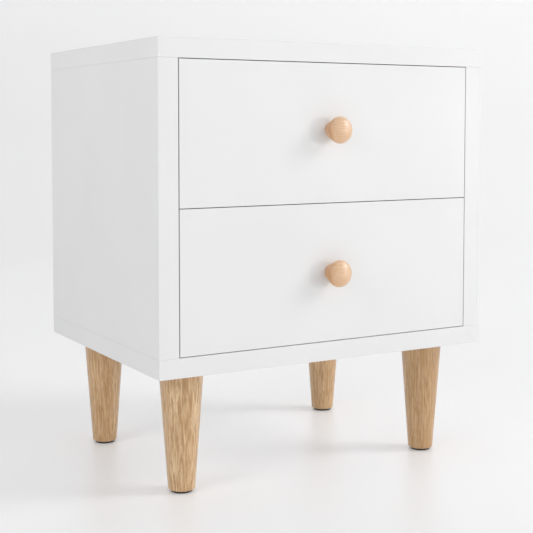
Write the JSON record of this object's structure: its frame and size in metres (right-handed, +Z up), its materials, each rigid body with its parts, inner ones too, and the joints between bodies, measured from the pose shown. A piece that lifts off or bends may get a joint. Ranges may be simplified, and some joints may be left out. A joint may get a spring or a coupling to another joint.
{
  "type": "nightstand with drawers",
  "caption": "White bedside cabinet on turned tapered wooden legs, with inset drawers on ball-bearing slides and round wooden knobs.",
  "frame": {"origin": "on the floor, at the middle of the footprint with the knobs counted in", "axes": "+X to the right seen from the front, +Y from the front to the back, +Z up"},
  "size_m": [0.48, 0.392, 0.554],
  "materials": {
    "white_lacquer": "satin white lacquer on board, crisp edges",
    "white_melamine": "matt white melamine",
    "back_board_white": "matt white hardboard",
    "leg_oak": "clear-lacquered light oak, grain along the leg",
    "knob_oak": "clear-lacquered light oak, turned",
    "dowel_beech": "raw fluted beech",
    "glide_black": "matt black",
    "slide_steel": "zinc-plated rolled steel",
    "ball_steel": "polished balls in pressed steel cages",
    "fitting_zinc": "zinc-plated fittings"
  },
  "bodies": {
    "case": {"top_panel": "white_lacquer", "bottom_panel": "white_lacquer", "left_side_panel": "white_lacquer", "right_side_panel": "white_lacquer", "back_panel": "back_board_white", "case_cams": "fitting_zinc", "case_cam_bolts": "fitting_zinc", "case_dowels": "dowel_beech", "front_left_leg": "leg_oak", "front_right_leg": "leg_oak", "back_left_leg": "leg_oak", "back_right_leg": "leg_oak", "front_left_glide": "glide_black", "front_right_glide": "glide_black", "back_left_glide": "glide_black", "back_right_glide": "glide_black", "leg_bolts": "fitting_zinc", "leg_inserts": "fitting_zinc", "cabinet_slide_screws": "fitting_zinc", "upper_left_outer_slide": "slide_steel", "upper_right_outer_slide": "slide_steel", "lower_left_outer_slide": "slide_steel", "lower_right_outer_slide": "slide_steel"},
    "upper_drawer": {"upper_drawer_front": "white_lacquer", "upper_drawer_left_side": "white_melamine", "upper_drawer_right_side": "white_melamine", "upper_drawer_back": "white_melamine", "upper_drawer_bottom": "white_melamine", "upper_knob": "knob_oak", "upper_knob_screw": "fitting_zinc", "upper_drawer_cams": "fitting_zinc", "upper_drawer_cam_bolts": "fitting_zinc", "upper_drawer_dowels": "dowel_beech", "upper_drawer_back_screws": "fitting_zinc", "upper_left_inner_slide": "slide_steel", "upper_right_inner_slide": "slide_steel", "upper_inner_slide_screws": "fitting_zinc"},
    "upper_left_slide_middle": {"upper_left_middle_slide": "slide_steel"},
    "upper_right_slide_middle": {"upper_right_middle_slide": "slide_steel"},
    "upper_outer_cages": {"upper_outer_ball_cages": "ball_steel"},
    "upper_inner_cages": {"upper_inner_ball_cages": "ball_steel"},
    "lower_drawer": {"lower_drawer_front": "white_lacquer", "lower_drawer_left_side": "white_melamine", "lower_drawer_right_side": "white_melamine", "lower_drawer_back": "white_melamine", "lower_drawer_bottom": "white_melamine", "lower_knob": "knob_oak", "lower_knob_screw": "fitting_zinc", "lower_drawer_cams": "fitting_zinc", "lower_drawer_cam_bolts": "fitting_zinc", "lower_drawer_dowels": "dowel_beech", "lower_drawer_back_screws": "fitting_zinc", "lower_left_inner_slide": "slide_steel", "lower_right_inner_slide": "slide_steel", "lower_inner_slide_screws": "fitting_zinc"},
    "lower_left_slide_middle": {"lower_left_middle_slide": "slide_steel"},
    "lower_right_slide_middle": {"lower_right_middle_slide": "slide_steel"},
    "lower_outer_cages": {"lower_outer_ball_cages": "ball_steel"},
    "lower_inner_cages": {"lower_inner_ball_cages": "ball_steel"}
  },
  "joints": [
    {"name": "upper_drawer_pull", "type": "slide", "parent": "case", "child": "upper_drawer", "axis": [0, -1, 0], "range_m": [0, 0.28]},
    {"name": "upper_left_middle_run", "type": "slide", "parent": "case", "child": "upper_left_slide_middle", "axis": [0, -1, 0], "range_m": [0, 0.14]},
    {"name": "upper_right_middle_run", "type": "slide", "parent": "case", "child": "upper_right_slide_middle", "axis": [0, -1, 0], "range_m": [0, 0.14]},
    {"name": "upper_outer_cage_run", "type": "slide", "parent": "case", "child": "upper_outer_cages", "axis": [0, -1, 0], "range_m": [0, 0.07]},
    {"name": "upper_inner_cage_run", "type": "slide", "parent": "case", "child": "upper_inner_cages", "axis": [0, -1, 0], "range_m": [0, 0.21]},
    {"name": "lower_drawer_pull", "type": "slide", "parent": "case", "child": "lower_drawer", "axis": [0, -1, 0], "range_m": [0, 0.28]},
    {"name": "lower_left_middle_run", "type": "slide", "parent": "case", "child": "lower_left_slide_middle", "axis": [0, -1, 0], "range_m": [0, 0.14]},
    {"name": "lower_right_middle_run", "type": "slide", "parent": "case", "child": "lower_right_slide_middle", "axis": [0, -1, 0], "range_m": [0, 0.14]},
    {"name": "lower_outer_cage_run", "type": "slide", "parent": "case", "child": "lower_outer_cages", "axis": [0, -1, 0], "range_m": [0, 0.07]},
    {"name": "lower_inner_cage_run", "type": "slide", "parent": "case", "child": "lower_inner_cages", "axis": [0, -1, 0], "range_m": [0, 0.21]}
  ],
  "couplings": [
    {"joint": "upper_left_middle_run", "follows": "upper_drawer_pull", "ratio": 0.5},
    {"joint": "upper_right_middle_run", "follows": "upper_drawer_pull", "ratio": 0.5},
    {"joint": "upper_outer_cage_run", "follows": "upper_drawer_pull", "ratio": 0.25},
    {"joint": "upper_inner_cage_run", "follows": "upper_drawer_pull", "ratio": 0.75},
    {"joint": "lower_left_middle_run", "follows": "lower_drawer_pull", "ratio": 0.5},
    {"joint": "lower_right_middle_run", "follows": "lower_drawer_pull", "ratio": 0.5},
    {"joint": "lower_outer_cage_run", "follows": "lower_drawer_pull", "ratio": 0.25},
    {"joint": "lower_inner_cage_run", "follows": "lower_drawer_pull", "ratio": 0.75}
  ]
}
